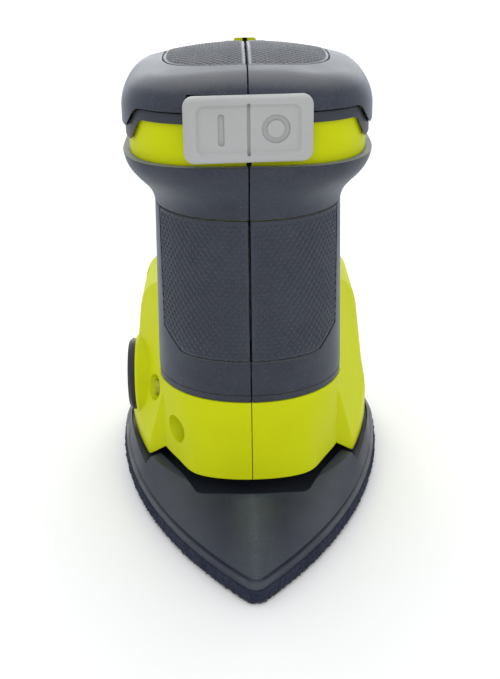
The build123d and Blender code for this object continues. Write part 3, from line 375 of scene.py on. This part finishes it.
def textured_panel(node, name, on_neck):
    """The panel with raised lozenges inside a plain border."""
    obj = remeshed(node, name, 0.28 * MM)
    vertices = obj.data.vertices
    normals = [Vector(n.vector) for n in obj.data.vertex_normals]
    outward, others = [], []
    for k, vertex in enumerate(vertices):
        x, y, z = vertex.co
        out = Vector((x, y - NECK_CENTRE_Y, 0)).normalized() if on_neck else Vector((0, 0, 1))
        (outward if normals[k].dot(out) > 0.75 else others).append(k)
    tree = KDTree(len(others))
    for k in others:
        tree.insert(vertices[k].co, k)
    tree.balance()
    moved = []
    for k in outward:
        co = vertices[k].co
        edge = ease(tree.find(co)[2], *BORDER)
        if on_neck:
            u, v = NECK_RADIUS * math.atan2(co.x, NECK_CENTRE_Y - co.y), co.z
        else:
            u, v = co.x, co.y
        rise = DIAMOND_RISE * (0.45 * (1 - edge) + edge * diamonds(u, v))
        moved.append((k, co + normals[k] * rise))
    for k, co in moved:
        vertices[k].co = co
    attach(obj, "housing")
    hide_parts(node)
    return obj


for side in ("left", "right"):
    textured_panel("neck_panel_" + side, "neck_texture_" + side, True)
    textured_panel("top_panel_" + side, "top_texture_" + side, False)


def frayed(node, name, voxel, reach, size, pile=0.0):
    """A cut edge that frays by up to reach, and a pile of small bumps on the underside."""
    obj = remeshed(node, name, voxel)
    vertices = obj.data.vertices
    normals = [Vector(n.vector) for n in obj.data.vertex_normals]
    moved = []
    for k, vertex in enumerate(vertices):
        co = vertex.co
        flat = Vector((normals[k].x, normals[k].y, 0))
        rough = noise.noise(co / size) + 0.6 * noise.noise(co / (size * 0.45) + Vector((3, 7, 1)))
        step = flat * (reach * rough)
        if pile and normals[k].z < -0.7:
            step.z += pile * max(0.0, noise.noise(co / 0.0009))
        moved.append(co + step)
    for k, co in enumerate(moved):
        vertices[k].co = co
    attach(obj, "base")
    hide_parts(node)
    return obj


foam_piece = frayed("foam_pad", "foam_cushion", 0.6 * MM, 0.45 * MM, 1.6 * MM)
frayed("hook_layer", "hook_pile", 0.5 * MM, 0.6 * MM, 1.1 * MM, 0.25 * MM)


# ---- Floor, light and camera ----
FLOOR_HALF = 3.0
CAMERA_PLACE = (-0.004826, -0.35609, 0.21047)
CAMERA_YAW = 0.01389
CAMERA_PITCH = 0.40864
CAMERA_ROLL = -0.0126
LENS_MM = 57.72


def floor():
    mesh = bpy.data.meshes.new("floor")
    edit = bmesh.new()
    corners = ((-1, -1), (1, -1), (1, 1), (-1, 1))
    edit.faces.new([edit.verts.new((x * FLOOR_HALF, y * FLOOR_HALF, 0.0)) for x, y in corners])
    edit.to_mesh(mesh)
    edit.free()
    obj = bpy.data.objects.new("floor", mesh)
    bpy.context.scene.collection.objects.link(obj)
    s = Shader("pale_floor")
    tint = s.ramp(s.noise(0.3, 3.0), [(0.3, (0.90, 0.90, 0.895)), (0.7, (0.92, 0.92, 0.915))])
    s.constant(Roughness=0.85)
    mesh.materials.append(s.finish(tint))


def area_light(name, place, target, size, power):
    data = bpy.data.lights.new(name, "AREA")
    data.shape = "RECTANGLE"
    data.size, data.size_y = size
    data.energy = power
    obj = bpy.data.objects.new(name, data)
    obj.location = place
    obj.rotation_mode = "QUATERNION"
    obj.rotation_quaternion = (Vector(target) - Vector(place)).to_track_quat("-Z", "Y")
    bpy.context.scene.collection.objects.link(obj)


def camera():
    """At the viewing angle of the picture, about 23 degrees above the horizon."""
    data = bpy.data.cameras.new("camera")
    data.sensor_width = 36.0
    data.lens = LENS_MM
    data.clip_start = 0.01
    data.clip_end = 20.0
    obj = bpy.data.objects.new("camera", data)
    level = math.cos(CAMERA_PITCH)
    forward = Vector((math.sin(CAMERA_YAW) * level, math.cos(CAMERA_YAW) * level, -math.sin(CAMERA_PITCH)))
    obj.location = CAMERA_PLACE
    obj.rotation_mode = "QUATERNION"
    obj.rotation_quaternion = forward.to_track_quat("-Z", "Y") @ Quaternion((0, 0, 1), CAMERA_ROLL)
    bpy.context.scene.collection.objects.link(obj)
    bpy.context.scene.camera = obj


def surroundings():
    """Even, slightly cool light from all round."""
    world = bpy.data.worlds.new("studio")
    world.use_nodes = True
    background = world.node_tree.nodes["Background"]
    background.inputs["Color"].default_value = (0.95, 0.97, 1.0, 1.0)
    background.inputs["Strength"].default_value = 0.68
    bpy.context.scene.world = world


floor()
surroundings()
area_light("key", (-0.25, -0.55, 0.75), (0, 0, 0.08), (0.6, 0.5), 1.2)
area_light("fill", (0.5, -0.5, 0.5), (0, 0, 0.08), (0.6, 0.6), 0.6)
area_light("top", (0.0, 0.15, 0.95), (0, 0, 0.1), (0.8, 0.8), 3.2)
area_light("back", (0.0, 2.4, 0.85), (0, 0, 0.15), (3.0, 1.0), 45.0)
bpy.context.scene.view_settings.view_transform = "Standard"
camera()
